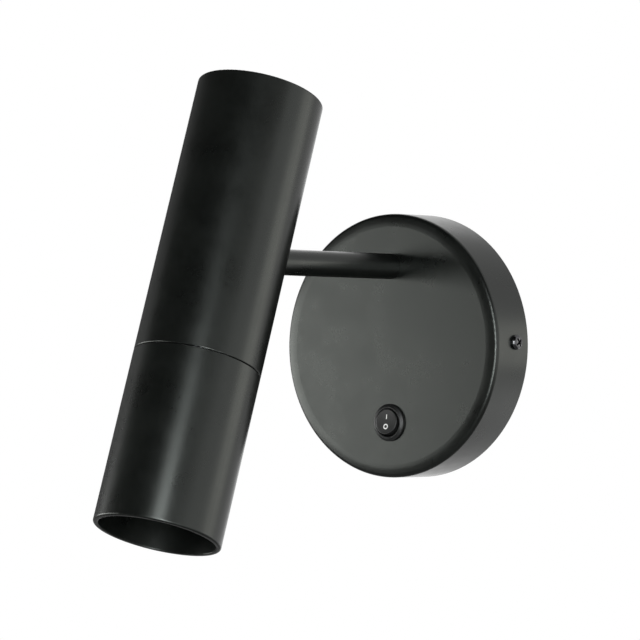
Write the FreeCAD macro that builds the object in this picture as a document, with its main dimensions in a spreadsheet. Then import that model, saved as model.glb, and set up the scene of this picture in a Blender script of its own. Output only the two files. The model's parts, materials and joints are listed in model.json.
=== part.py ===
import FreeCAD, Part
import math
import os
import re
import Sketcher
from FreeCAD import Placement, Rotation, Vector

# A wall light: a round canopy held on a wall bracket, a straight arm that turns in the
# canopy, and a tube head that tilts on the arm's end. A round rocker switch sits in the
# canopy, and a reflector lamp stands inside the tube behind a pull-off lower tube.
#
# Frame: the origin is the centre of the wall bracket's back face, +X is to the right of
# someone who faces the wall, -Y points out of the wall and +Z is up.

document = FreeCAD.newDocument("tube_wall_light")

# Driving sizes, in millimetres and degrees.
driving_sizes = {
    # canopy
    "canopy_radius": 60.0,
    "canopy_depth": 24.0,
    "canopy_wall": 1.2,
    "canopy_edge": 2.0,
    "crown_from_edge": 3.8,
    "crown_slope": 12.0,
    "crown_radius": 20.0,
    "arm_from_edge": 24.0,
    "switch_from_edge": 25.0,
    # wall bracket, with its turned ears
    "bracket_thick": 1.8,
    "bracket_half_width": 8.0,
    "bracket_side_gap": 1.2,
    "ear_depth": 17.0,
    "ear_corner": 3.0,
    "bend_radius": 1.0,
    "wall_slot_spread": 35.0,
    "wall_slot_half_width": 2.3,
    "wall_slot_length": 14.0,
    "entry_hole_radius": 5.5,
    "entry_flange_radius": 7.2,
    "entry_flange_thick": 2.0,
    "entry_bore_radius": 4.0,
    # screws that hold the canopy to the ears
    "side_screw_out": 9.5,
    "side_screw_rise": 1.15,
    "side_screw_radius": 1.95,
    "side_screw_room": 0.3,
    "side_screw_length": 10.0,
    "side_head_radius": 3.4,
    "side_head_tall": 2.3,
    "side_head_round": 1.5,
    "recess_half_length": 1.8,
    "recess_half_width": 0.45,
    "recess_depth": 1.3,
    # terminal block and earth
    "block_place": 19.5,
    "block_half_wide": 8.0,
    "block_half_long": 14.0,
    "block_tall": 14.0,
    "terminal_pitch": 9.0,
    "terminal_spread": 4.0,
    "wire_hole_radius": 1.6,
    "wire_hole_height": 7.0,
    "well_radius": 1.9,
    "well_depth": 6.0,
    "terminal_screw_radius": 1.6,
    "terminal_screw_long": 4.2,
    "block_screw_offset": 4.5,
    "small_screw_radius": 1.5,
    "small_head_radius": 2.7,
    "small_head_tall": 2.0,
    "earth_place": 20.0,
    "earth_screw_radius": 1.95,
    "earth_head_radius": 3.6,
    "earth_head_tall": 2.4,
    "earth_tag_radius": 4.3,
    "earth_tag_thick": 0.8,
    "earth_tag_tail": 9.0,
    # single wires in the canopy
    "wire_radius": 1.0,
    "wire_in_block": 1.0,
    "wire_from_block": 4.0,
    "wire_below_row": 7.0,
    "wire_beside_row": 9.0,
    "wire_at_mouth": 2.4,
    "wire_below_mouth": 2.5,
    "wire_pass_place": 12.0,
    "wire_pass_out": 12.5,
    "wire_pass_rise": 6.0,
    "wire_mouth_drop": 7.0,
    "wire_tag_overlap": 2.5,
    # rocker switch
    "switch_opening": 6.35,
    "switch_wall": 1.0,
    "bezel_flange": 1.15,
    "bezel_rim": 1.0,
    "bezel_rim_round": 0.7,
    "bezel_lip": 1.5,
    "bezel_crest_out": 0.6,
    "bezel_tall": 1.9,
    "bezel_crest_round": 0.5,
    "switch_hole_gap": 0.15,
    "switch_body_depth": 12.0,
    "switch_floor": 2.5,
    "barb_half_width": 2.0,
    "barb_reach": 0.8,
    "barb_length": 5.0,
    "blade_spread": 3.5,
    "blade_half_wide": 2.4,
    "blade_thick": 0.8,
    "blade_long": 6.5,
    "rocker_side_gap": 0.5,
    "rocker_hinge_depth": 0.2,
    "rocker_face": 3.2,
    "rocker_skirt": 2.5,
    "rocker_edge": 0.5,
    "rocker_throw": 18.0,
    "rocker_pin_radius": 1.0,
    "rocker_pin_bite": 0.35,
    "mark_offset": 2.35,
    "mark_bar_half_wide": 0.36,
    "mark_bar_half_tall": 1.2,
    "mark_ring_outer": 1.35,
    "mark_ring_inner": 0.8,
    "mark_thick": 0.06,
    # arm and the parts that let it turn
    "arm_reach": 143.5,
    "arm_radius": 5.8,
    "arm_wall": 0.8,
    "nipple_wall": 1.5,
    "nipple_in_arm": 12.0,
    "nipple_in_canopy": 12.0,
    "turn_gap": 0.08,
    "root_gap": 0.1,
    "friction_washer_radius": 9.0,
    "friction_washer_thick": 1.0,
    "stop_washer_radius": 8.8,
    "stop_washer_thick": 1.0,
    "stop_tab_reach": 12.5,
    "stop_tab_half_width": 2.0,
    "spring_washer_radius": 7.6,
    "spring_washer_thick": 1.5,
    "lock_nut_flats": 14.0,
    "lock_nut_thick": 5.0,
    "stop_stud_radius": 1.5,
    "stop_stud_place": 11.0,
    "stop_stud_tall": 2.6,
    # tilt joint
    "rest_tilt": 20.0,
    "least_tilt": 0.0,
    "most_tilt": 50.0,
    "knuckle_half_width": 4.5,
    "knuckle_length": 10.0,
    "knuckle_shoulder": 3.0,
    "knuckle_plug": 5.0,
    "pivot_radius": 2.5,
    "pivot_gap": 0.05,
    "pivot_head_radius": 4.2,
    "pivot_head_tall": 2.8,
    "pivot_end": 1.0,
    "pivot_nut_flats": 8.0,
    "pivot_nut_thick": 4.0,
    "brake_washer_radius": 5.5,
    "arm_side_gap": 0.7,
    "flex_radius": 1.5,
    "flex_tail": 1.0,
    "flex_turn_run": 9.0,
    "flex_lean": 0.5,
    "flex_exit_place": 18.2,
    "flex_exit_radius": 2.4,
    # tube head
    "tube_radius": 28.0,
    "tube_wall": 2.25,
    "tube_top": 2.5,
    "upper_length": 126.3,
    "seam_gap": 0.3,
    "lower_length": 77.4,
    "pivot_above_seam": 48.3,
    "top_round": 0.9,
    "seam_upper_round": 0.45,
    "seam_lower_round": 0.2,
    "lip_round": 0.9,
    "lip_inner_round": 0.45,
    # frame inside the tube, its stud and nut
    "frame_thick": 1.5,
    "frame_half_depth": 7.0,
    "foot_inset": 4.5,
    "foot_screw_inset": 4.0,
    "stud_radius": 2.5,
    "stud_long": 9.0,
    "frame_nut_flats": 8.0,
    "frame_nut_thick": 4.0,
    "fixed_gap": 0.1,
    # lampholder on its plate
    "plate_above_seam": 24.8,
    "plate_edge_gap": 1.25,
    "plate_thick": 1.5,
    "plate_wire_hole": 4.0,
    "holder_half_wide": 8.5,
    "holder_half_long": 14.5,
    "holder_tall": 16.0,
    "holder_screw_place": 10.5,
    "counterbore_depth": 3.0,
    "counterbore_radius": 3.0,
    "pin_spread": 5.0,
    "pin_well_half": 2.7,
    "pin_well_depth": 8.3,
    "pin_well_ease": 2.0,
    "twist": 20.0,
    "contact_half": 1.6,
    "contact_thick": 0.6,
    "lead_radius": 1.4,
    "lead_bore_radius": 2.0,
    "lead_bore_depth": 5.0,
    "lead_end_gap": 1.0,
    "lead_under_arm": 4.9,
    "lead_short_of_exit": 2.0,
    # joint sleeve between the tubes
    "sleeve_wall": 1.8,
    "sleeve_up": 13.0,
    "sleeve_down": 14.0,
    "slide_gap": 0.08,
    "groove_below_seam": 8.5,
    "groove_half_width": 0.6,
    "groove_depth": 1.1,
    "grip_wire_radius": 0.5,
    "grip_gap": 0.05,
    "grip_ring_turn": 330.0,
    "sleeve_screw_rise": 7.0,
    "sleeve_screw_radius": 1.5,
    "sleeve_screw_skin": 0.9,
    # reflector lamp
    "lamp_gap": 0.3,
    "lamp_cap_radius": 12.5,
    "lamp_cap_top_radius": 11.0,
    "lamp_cap_tall": 6.0,
    "lamp_cap_step": 3.0,
    "pin_neck_radius": 1.5,
    "pin_neck_long": 5.0,
    "pin_head_radius": 2.5,
    "pin_head_long": 2.5,
    "lamp_neck_radius": 13.0,
    "lamp_shoulder_radius": 16.0,
    "lamp_shoulder": 12.0,
    "lamp_cone_end": 40.0,
    "lamp_long": 46.5,
    "lamp_side_gap": 0.75,
    "lamp_wall": 1.2,
    "lens_thick": 2.0,
    "lens_inset": 0.6,
}

# Sizes that follow from the driving ones, as formulas.
worked_out = {
    "canopy_bore": "(canopy_radius - canopy_wall)",
    "canopy_inner_edge": "(canopy_edge - canopy_wall)",
    "crown_start": "(canopy_radius - crown_from_edge)",
    "front_edge": "(crown_from_edge * tan(crown_slope) - canopy_depth)",
    "inner_front_edge": "((canopy_bore - crown_start) * tan(crown_slope)"
                        " + canopy_wall - canopy_depth)",
    "arm_height": "(canopy_radius - arm_from_edge)",
    "switch_drop": "(canopy_radius - switch_from_edge)",
    "bracket_half_long": "(canopy_bore - bracket_side_gap)",
    "block_face": "(block_place - block_half_wide)",
    "block_wires_out": "(bracket_thick + wire_hole_height)",
    "switch_body_radius": "(switch_opening + switch_wall)",
    "switch_hole_radius": "(switch_body_radius + switch_hole_gap)",
    "bezel_radius": "(switch_body_radius + bezel_flange)",
    "rocker_radius": "(switch_opening - rocker_side_gap)",
    "rocker_pin_end": "(switch_opening + rocker_pin_bite)",
    "arm_bore": "(arm_radius - arm_wall)",
    "nipple_bore": "(arm_bore - nipple_wall)",
    "arm_root": "(arm_reach - canopy_depth)",
    "friction_washer_at": "(canopy_wall + root_gap)",
    "stop_washer_at": "(friction_washer_at + friction_washer_thick)",
    "spring_washer_at": "(stop_washer_at + stop_washer_thick)",
    "lock_nut_at": "(spring_washer_at + spring_washer_thick)",
    "frame_inner": "(arm_radius + arm_side_gap)",
    "frame_outer": "(frame_inner + frame_thick)",
    "pivot_tip": "(frame_outer + pivot_nut_thick + pivot_end)",
    "tube_bore": "(tube_radius - tube_wall)",
    "pivot_below_top": "(upper_length - pivot_above_seam)",
    "upper_end": "(pivot_below_top - upper_length)",
    "frame_length": "(upper_length - tube_top - plate_above_seam - plate_thick)",
    "frame_top": "(pivot_below_top - tube_top)",
    "frame_web": "(frame_top - frame_thick)",
    "foot_bottom": "(frame_top - frame_length)",
    "foot_top": "(foot_bottom + frame_thick)",
    "plate_radius": "(tube_bore - plate_edge_gap)",
    "foot_reach": "(plate_radius - foot_inset)",
    "foot_screw_place": "(foot_reach - foot_screw_inset)",
    "plate_bottom": "(foot_bottom - plate_thick)",
    "holder_face": "(plate_bottom - holder_tall)",
    "well_ceiling": "(holder_face + pin_well_depth)",
    "pin_well_turn": "(2 * asin(pin_well_half / pin_spread) / 1 deg + twist + pin_well_ease)",
    "lamp_base": "(holder_face - lamp_gap)",
    "lamp_radius": "(tube_bore - lamp_side_gap)",
    "lower_start": "(upper_end - seam_gap)",
    "lower_end": "(lower_start - lower_length)",
    "arm_slot_half": "(arm_radius + arm_side_gap)",
    "slot_low": "(tube_bore * tan(least_tilt) - arm_radius / cos(least_tilt)"
                " - arm_side_gap + arm_slot_half)",
    "slot_high": "(tube_radius * tan(most_tilt) + arm_radius / cos(most_tilt)"
                 " + arm_side_gap - arm_slot_half)",
    "sleeve_bore": "(tube_bore - sleeve_wall)",
    "sleeve_slide": "(tube_bore - slide_gap)",
    "sleeve_top": "(upper_end + sleeve_up)",
    "sleeve_bottom": "(upper_end - sleeve_down)",
    "groove_height": "(upper_end - groove_below_seam)",
    "groove_radius": "(sleeve_slide - groove_depth)",
    "sleeve_screw_height": "(upper_end + sleeve_screw_rise)",
}

# Places where groups of pieces are drawn. A piece's own place is added after it.
places = {
    "wall": "placement(vector(0; 0; 0); rotation(vector(1; 0; 0); 0))",
    "switch": "placement(vector(0; -canopy_depth; -switch_drop); rotation(vector(1; 0; 0); 0))",
    "rocker": "placement(vector(0; rocker_hinge_depth - canopy_depth; -switch_drop);"
              " rotation(vector(1; 0; 0); -rocker_throw / 2))",
    "root": "placement(vector(0; -canopy_depth; arm_height); rotation(vector(1; 0; 0); 0))",
    "arm": "placement(vector(0; -arm_reach; arm_height); rotation(vector(1; 0; 0); 0))",
    "head": "placement(vector(0; -arm_reach; arm_height); rotation(vector(1; 0; 0); -rest_tilt))",
}

sheet = document.addObject("Spreadsheet::Sheet", "Sizes")
for row, (alias, value) in enumerate(driving_sizes.items(), start=1):
    sheet.set(f"A{row}", str(value))
    sheet.setAlias(f"A{row}", alias)
document.recompute()

sub_parts = []

edge_match = 1e-5  # share by which an edge's size may differ from its formula
line_match = 1e-4  # distance in millimetres by which an edge may miss its line
volume_match = 0.01  # share by which a wire may differ from its section times its length
run_share = 0.45  # share of a run that the arc at each of its ends may take

along_x = Vector(1, 0, 0)
along_y = Vector(0, 1, 0)
along_z = Vector(0, 0, 1)


# ---- formulas -------------------------------------------------------------------------

def formula(words):
    """Write the named sizes of a formula out as cells of the sheet."""
    def written(match):
        name = match.group(0)
        if name in worked_out:
            return formula(worked_out[name])
        if name in driving_sizes:
            return "Sizes." + name
        return name
    return re.sub(r"[a-z][a-z_]*", written, str(words))


def number(words):
    """The value of a formula, in millimetres or degrees."""
    return float(sheet.evalExpression(formula(words)))


# ---- sketches -------------------------------------------------------------------------

class Drawing:
    """A sketch on one of its body's own planes. Every point and radius is a formula.

    The offset lifts it along the plane's normal. The swing turns it about its upright axis.
    """

    def __init__(self, body, plane, offset="0", swing=None):
        self.sketch = body.newObject("Sketcher::SketchObject", body.Name + "_sketch")
        origin_plane = next(f for f in body.Origin.OriginFeatures if f.Role == plane)
        self.sketch.AttachmentSupport = (origin_plane, "")
        self.sketch.MapMode = "FlatFace"
        if swing:
            self.sketch.AttachmentOffset = Placement(Vector(0, 0, 0), Rotation(along_y, 1))
            self.sketch.setExpression("AttachmentOffset.Rotation.Angle", formula(swing))
        self.sketch.setExpression("AttachmentOffset.Base.z", formula(offset))

    def fix(self, kind, place, words):
        """Add a dimension to the sketch and bind it to a formula."""
        index = self.sketch.addConstraint(Sketcher.Constraint(kind, *place, number(words)))
        self.sketch.setExpression(f"Constraints[{index}]", formula(words))

    def polygon(self, points):
        """A closed outline of straight lines through the given points."""
        first = self.sketch.GeometryCount
        corners = [Vector(number(across), number(along), 0) for across, along in points]
        count = len(corners)
        for step in range(count):
            line = Part.LineSegment(corners[step], corners[(step + 1) % count])
            self.sketch.addGeometry(line)
        for step in range(count):
            following = first + (step + 1) % count
            self.sketch.addConstraint(
                Sketcher.Constraint("Coincident", first + step, 2, following, 1))
        for step, (across, along) in enumerate(points):
            self.fix("DistanceX", (first + step, 1), across)
            self.fix("DistanceY", (first + step, 1), along)
        return self

    def rectangle(self, left, right, low, high):
        return self.polygon([(left, low), (right, low), (right, high), (left, high)])

    def circle(self, across, along, radius):
        index = self.sketch.GeometryCount
        centre = Vector(number(across), number(along), 0)
        self.sketch.addGeometry(Part.Circle(centre, Vector(0, 0, 1), number(radius)))
        self.fix("DistanceX", (index, 3), across)
        self.fix("DistanceY", (index, 3), along)
        self.fix("Radius", (index,), radius)
        return self

    def slot(self, first_end, second_end, radius, upright):
        """A slot with round ends about two centres that differ along one direction."""
        arc = self.sketch.GeometryCount
        starts = Vector(number(first_end[0]), number(first_end[1]), 0)
        ends = Vector(number(second_end[0]), number(second_end[1]), 0)
        half = number(radius)
        quarter = math.pi / 2
        turned = 0 if upright else quarter
        side = Vector(half, 0, 0) if upright else Vector(0, -half, 0)
        normal = Vector(0, 0, 1)
        self.sketch.addGeometry(
            Part.ArcOfCircle(Part.Circle(ends, normal, half), -turned, math.pi - turned))
        self.sketch.addGeometry(
            Part.ArcOfCircle(Part.Circle(starts, normal, half), math.pi - turned,
                             2 * math.pi - turned))
        self.sketch.addGeometry(Part.LineSegment(ends - side, starts - side))
        self.sketch.addGeometry(Part.LineSegment(starts + side, ends + side))
        for one, other in ((0, 2), (2, 1), (1, 3), (3, 0)):
            self.sketch.addConstraint(
                Sketcher.Constraint("Tangent", arc + one, 2, arc + other, 1))
        for index, (across, along) in ((arc, second_end), (arc + 1, first_end)):
            self.fix("Radius", (index,), radius)
            self.fix("DistanceX", (index, 3), across)
            self.fix("DistanceY", (index, 3), along)
        return self

    def hexagon(self, flats):
        """A hexagon about the sketch's centre, two corners on its upright axis."""
        reach = f"({flats} / sqrt(3))"
        points = []
        for corner in range(6):
            angle = 90 + 60 * corner
            points.append((f"{reach} * cos({angle})", f"{reach} * sin({angle})"))
        return self.polygon(points)


# ---- features -------------------------------------------------------------------------

def new_body(label):
    body = document.addObject("PartDesign::Body", label)
    body.Label = label
    return body


def revolve(body, drawing, axis="V_Axis"):
    feature = body.newObject("PartDesign::Revolution", body.Name + "_turned")
    feature.Profile = (drawing.sketch, [""])
    feature.ReferenceAxis = (drawing.sketch, [axis])
    feature.Angle = 360
    return feature


def pad(body, drawing, length, both_ways=False):
    """Raise a sketch along its normal, or half the length to each side of it."""
    feature = body.newObject("PartDesign::Pad", body.Name + "_pad")
    feature.Profile = (drawing.sketch, [""])
    feature.setExpression("Length", formula(length))
    feature.SideType = "Symmetric" if both_ways else "One side"
    return feature


def pocket(body, drawing, length=None, both_ways=False, forward=False):
    """Cut a sketch away: against its normal, along it, or both ways."""
    document.recompute()
    before = body.Shape.Volume
    feature = body.newObject("PartDesign::Pocket", body.Name + "_pocket")
    feature.Profile = (drawing.sketch, [""])
    feature.SideType = "Symmetric" if both_ways else "One side"
    if length is None:
        feature.Type = "ThroughAll"
    else:
        feature.Type = "Length"
        feature.setExpression("Length", formula(length))
    feature.Reversed = forward
    document.recompute()
    if math.isclose(feature.Shape.Volume, before, rel_tol=1e-9):
        raise ValueError(f"a pocket of {body.Label} cuts nothing")
    return feature


def round_edges(body, wanted, radius):
    """Fillet the edges of a body's last feature that a test picks out."""
    document.recompute()
    last = body.Tip
    names = []
    for index, edge in enumerate(last.Shape.Edges, start=1):
        if wanted(edge):
            names.append(f"Edge{index}")
    if not names:
        raise ValueError(f"no edge of {body.Label} fits")
    feature = body.newObject("PartDesign::Fillet", body.Name + "_edge")
    feature.Base = (last, names)
    feature.setExpression("Radius", formula(radius))
    return feature


def ring_at(direction, height, radius):
    """A test for a circle of a given radius whose centre lies at a given height."""
    def fits(edge):
        curve = edge.Curve
        if not isinstance(curve, Part.Circle):
            return False
        same_radius = math.isclose(curve.Radius, number(radius), rel_tol=edge_match)
        return same_radius and math.isclose(
            curve.Center.dot(direction), number(height), rel_tol=edge_match)
    return fits


def lines_through(direction, *points):
    """A test for a straight edge on a line that runs in a direction through a given point."""
    spots = [Vector(*(number(value) for value in point)) for point in points]

    def fits(edge):
        if not isinstance(edge.Curve, Part.Line):
            return False
        middle = edge.valueAt((edge.FirstParameter + edge.LastParameter) / 2)
        return any(middle.distanceToLine(spot, direction) < line_match for spot in spots)
    return fits


def settle(piece, place, across="0", along="0", up="0"):
    """Put a piece in its place and hand it over as a sub-part."""
    own = f"placement(vector({across}; {along}; {up}); rotation(vector(1; 0; 0); 0))"
    piece.setExpression("Placement", formula(places[place] + " * " + own))
    sub_parts.append(piece)
    return piece


def turned_piece(label, place, plane, axis, points, across="0", up="0"):
    """A piece turned from one outline of (across, along) points."""
    body = new_body(label)
    revolve(body, Drawing(body, plane).polygon(points), axis)
    return settle(body, place, across, "0", up)


def ring_piece(label, place, start, thick, outer, inner):
    """A flat ring about the Y axis, from one distance along it to another."""
    body = new_body(label)
    drawing = Drawing(body, "XZ_Plane", f"-({start}) - ({thick})")
    drawing.circle("0", "0", outer)
    drawing.circle("0", "0", inner)
    pad(body, drawing, thick)
    return settle(body, place)


# ---- wires ----------------------------------------------------------------------------

def route_line(points):
    """Straight runs joined by tangent arcs, each as large as its two runs allow."""
    edges = []
    at = points[0]
    for before, corner, after in zip(points, points[1:], points[2:]):
        arriving = (corner - before).normalize()
        leaving = (after - corner).normalize()
        half_turn = arriving.getAngle(leaving) / 2
        cut = run_share * min((corner - before).Length, (after - corner).Length)
        start = corner - arriving * cut
        finish = corner + leaving * cut
        radius = cut / math.tan(half_turn)
        inward = (leaving - arriving).normalize()
        middle = corner + inward * (radius / math.cos(half_turn) - radius)
        edges.append(Part.LineSegment(at, start).toShape())
        edges.append(Part.Arc(start, middle, finish).toShape())
        at = finish
    edges.append(Part.LineSegment(at, points[-1]).toShape())
    return Part.Wire(edges)


def wire_piece(label, place, radius, points):
    """A round wire along a route whose points are formulas in the frame of its place."""
    route = [Vector(number(x), number(y), number(z)) for x, y, z in points]
    line = route_line(route)
    first_run = (route[1] - route[0]).normalize()
    section = Part.Wire([Part.makeCircle(number(radius), route[0], first_run)])
    tube = line.makePipeShell([section], True, False)
    expected = math.pi * number(radius) ** 2 * line.Length
    if not math.isclose(tube.Volume, expected, rel_tol=volume_match):
        raise ValueError(f"the route of {label} folds over itself")
    piece = document.addObject("Part::Feature", label)
    piece.Label = label
    piece.Shape = tube
    return settle(piece, place)


# ---- base: canopy, bracket and wiring ---------------------------------------------------

def make_canopy():
    """A drawn steel cup, open to the wall, whose face falls away towards its rim."""
    body = new_body("canopy")
    revolve(body, Drawing(body, "XY_Plane").polygon([
        ("0", "-canopy_depth"),
        ("crown_start", "-canopy_depth"),
        ("canopy_radius", "front_edge"),
        ("canopy_radius", "0"),
        ("canopy_bore", "0"),
        ("canopy_bore", "inner_front_edge"),
        ("crown_start", "canopy_wall - canopy_depth"),
        ("0", "canopy_wall - canopy_depth")]))
    crown = ring_at(along_y, "-canopy_depth", "crown_start")
    front = ring_at(along_y, "front_edge", "canopy_radius")
    inside = ring_at(along_y, "inner_front_edge", "canopy_bore")
    round_edges(body, front, "canopy_edge")
    round_edges(body, crown, "crown_radius")
    round_edges(body, inside, "canopy_inner_edge")
    holes = Drawing(body, "XZ_Plane")
    holes.circle("0", "arm_height", "arm_bore + turn_gap")
    holes.circle("0", "-switch_drop", "switch_hole_radius")
    pocket(body, holes, both_ways=True)
    rim = Drawing(body, "YZ_Plane")
    rim.circle("-side_screw_out", "side_screw_rise", "side_screw_radius + side_screw_room")
    pocket(body, rim, both_ways=True)
    settle(body, "wall")


def make_wall_bracket():
    """A steel strip bent into a shallow U, slotted for the wall and tapped in its ears."""
    body = new_body("wall_bracket")
    inner = "(bracket_half_long - bracket_thick)"
    pad(body, Drawing(body, "XY_Plane").polygon([
        ("-bracket_half_long", "0"),
        ("-bracket_half_long", "-ear_depth"),
        (f"-{inner}", "-ear_depth"),
        (f"-{inner}", "-bracket_thick"),
        (inner, "-bracket_thick"),
        (inner, "-ear_depth"),
        ("bracket_half_long", "-ear_depth"),
        ("bracket_half_long", "0")]), "2 * bracket_half_width", both_ways=True)
    outside = lines_through(along_z, ("-bracket_half_long", "0", "0"),
                            ("bracket_half_long", "0", "0"))
    round_edges(body, outside, "bend_radius + bracket_thick")
    inside = lines_through(along_z, (f"-{inner}", "-bracket_thick", "0"),
                           (inner, "-bracket_thick", "0"))
    round_edges(body, inside, "bend_radius")
    ear_corners = lines_through(along_x, ("0", "-ear_depth", "-bracket_half_width"),
                                ("0", "-ear_depth", "bracket_half_width"))
    round_edges(body, ear_corners, "ear_corner")
    holes = Drawing(body, "XZ_Plane")
    holes.circle("0", "0", "entry_hole_radius")
    holes.circle("-earth_place", "0", "earth_screw_radius")
    holes.circle("block_place", "block_screw_offset", "small_screw_radius")
    end = "(wall_slot_length / 2 - wall_slot_half_width)"
    for side in ("-wall_slot_spread", "wall_slot_spread"):
        holes.slot((f"{side} - {end}", "0"), (f"{side} + {end}", "0"),
                   "wall_slot_half_width", upright=False)
    pocket(body, holes, both_ways=True)
    tapped = Drawing(body, "YZ_Plane")
    tapped.circle("-side_screw_out", "side_screw_rise", "side_screw_radius")
    pocket(body, tapped, both_ways=True)
    settle(body, "wall")


def make_side_screws():
    """Two pan head screws with a cross recess, one through each side of the rim."""
    body = new_body("side_screw_right")
    revolve(body, Drawing(body, "XY_Plane").polygon([
        ("canopy_radius - side_screw_length", "0"),
        ("canopy_radius - side_screw_length", "side_screw_radius"),
        ("canopy_radius", "side_screw_radius"),
        ("canopy_radius", "side_head_radius"),
        ("canopy_radius + side_head_tall", "side_head_radius"),
        ("canopy_radius + side_head_tall", "0")]), "H_Axis")
    crown = ring_at(along_x, "canopy_radius + side_head_tall", "side_head_radius")
    round_edges(body, crown, "side_head_round")
    long = "recess_half_length"
    thin = "recess_half_width"
    cross = Drawing(body, "YZ_Plane", "canopy_radius + side_head_tall").polygon([
        (thin, thin), (thin, long), (f"-{thin}", long), (f"-{thin}", thin),
        (f"-{long}", thin), (f"-{long}", f"-{thin}"), (f"-{thin}", f"-{thin}"),
        (f"-{thin}", f"-{long}"), (thin, f"-{long}"), (thin, f"-{thin}"),
        (long, f"-{thin}"), (long, thin)])
    pocket(body, cross, "recess_depth")
    mirrored = document.addObject("Part::Mirroring", "side_screw_left")
    mirrored.Source = body
    mirrored.Normal = along_x
    pair = document.addObject("Part::Compound", "side_screws")
    pair.Label = "side_screws"
    pair.Links = [body, mirrored]
    settle(pair, "wall", along="-side_screw_out", up="side_screw_rise")


def make_entry_bush():
    """A rubber bush that lines the bracket's hole for the house cable."""
    turned_piece("entry_bush", "wall", "XY_Plane", "V_Axis", [
        ("entry_bore_radius", "0"),
        ("entry_hole_radius", "0"),
        ("entry_hole_radius", "-bracket_thick"),
        ("entry_flange_radius", "-bracket_thick"),
        ("entry_flange_radius", "-bracket_thick - entry_flange_thick"),
        ("entry_bore_radius", "-bracket_thick - entry_flange_thick")])


def make_terminal_block():
    """Three screw terminals in one moulding, with a fixing hole between two of them."""
    body = new_body("terminal_block")
    pad(body, Drawing(body, "XZ_Plane").rectangle(
        "-block_half_wide", "block_half_wide", "-block_half_long", "block_half_long"),
        "block_tall")
    wells = Drawing(body, "XZ_Plane", "block_tall")
    wires = Drawing(body, "YZ_Plane")
    for terminal in (-1, 0, 1):
        level = f"{terminal} * terminal_pitch"
        wires.circle("-wire_hole_height", level, "wire_hole_radius")
        for side in (-1, 1):
            wells.circle(f"{side} * terminal_spread", level, "well_radius")
    pocket(body, wells, "well_depth")
    pocket(body, wires, both_ways=True)
    fixing = Drawing(body, "XZ_Plane").circle("0", "block_screw_offset", "small_screw_radius")
    pocket(body, fixing, forward=True)
    settle(body, "wall", across="block_place", along="-bracket_thick")

    screws = new_body("terminal_screws")
    heads = Drawing(screws, "XZ_Plane", "wire_hole_height + wire_radius + fixed_gap")
    for terminal in (-1, 0, 1):
        for side in (-1, 1):
            heads.circle(f"{side} * terminal_spread", f"{terminal} * terminal_pitch",
                         "terminal_screw_radius")
    pad(screws, heads, "terminal_screw_long")
    settle(screws, "wall", across="block_place", along="-bracket_thick")

    turned_piece("block_screw", "wall", "XY_Plane", "V_Axis", [
        ("0", "0"),
        ("small_screw_radius", "0"),
        ("small_screw_radius", "-bracket_thick - block_tall"),
        ("small_head_radius", "-bracket_thick - block_tall"),
        ("small_head_radius", "-bracket_thick - block_tall - small_head_tall"),
        ("0", "-bracket_thick - block_tall - small_head_tall")],
        across="block_place", up="block_screw_offset")


def make_earth_point():
    """The screw in the bracket that clamps the earth lead's ring tag."""
    turned_piece("earth_screw", "wall", "XY_Plane", "V_Axis", [
        ("0", "0"),
        ("earth_screw_radius", "0"),
        ("earth_screw_radius", "-bracket_thick - earth_tag_thick"),
        ("earth_head_radius", "-bracket_thick - earth_tag_thick"),
        ("earth_head_radius", "-bracket_thick - earth_tag_thick - earth_head_tall"),
        ("0", "-bracket_thick - earth_tag_thick - earth_head_tall")], across="-earth_place")

    body = new_body("earth_tag")
    tail = Drawing(body, "XZ_Plane", "bracket_thick")
    tail.rectangle("earth_screw_radius + wire_radius", "earth_tag_tail",
                   "-1.5 * wire_radius", "1.5 * wire_radius")
    pad(body, tail, "earth_tag_thick")
    ring = Drawing(body, "XZ_Plane", "bracket_thick")
    ring.circle("0", "0", "earth_tag_radius")
    pad(body, ring, "earth_tag_thick")
    hole = Drawing(body, "XZ_Plane").circle("0", "0", "earth_screw_radius + fixed_gap")
    pocket(body, hole, forward=True)
    settle(body, "wall", across="-earth_place")


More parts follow.
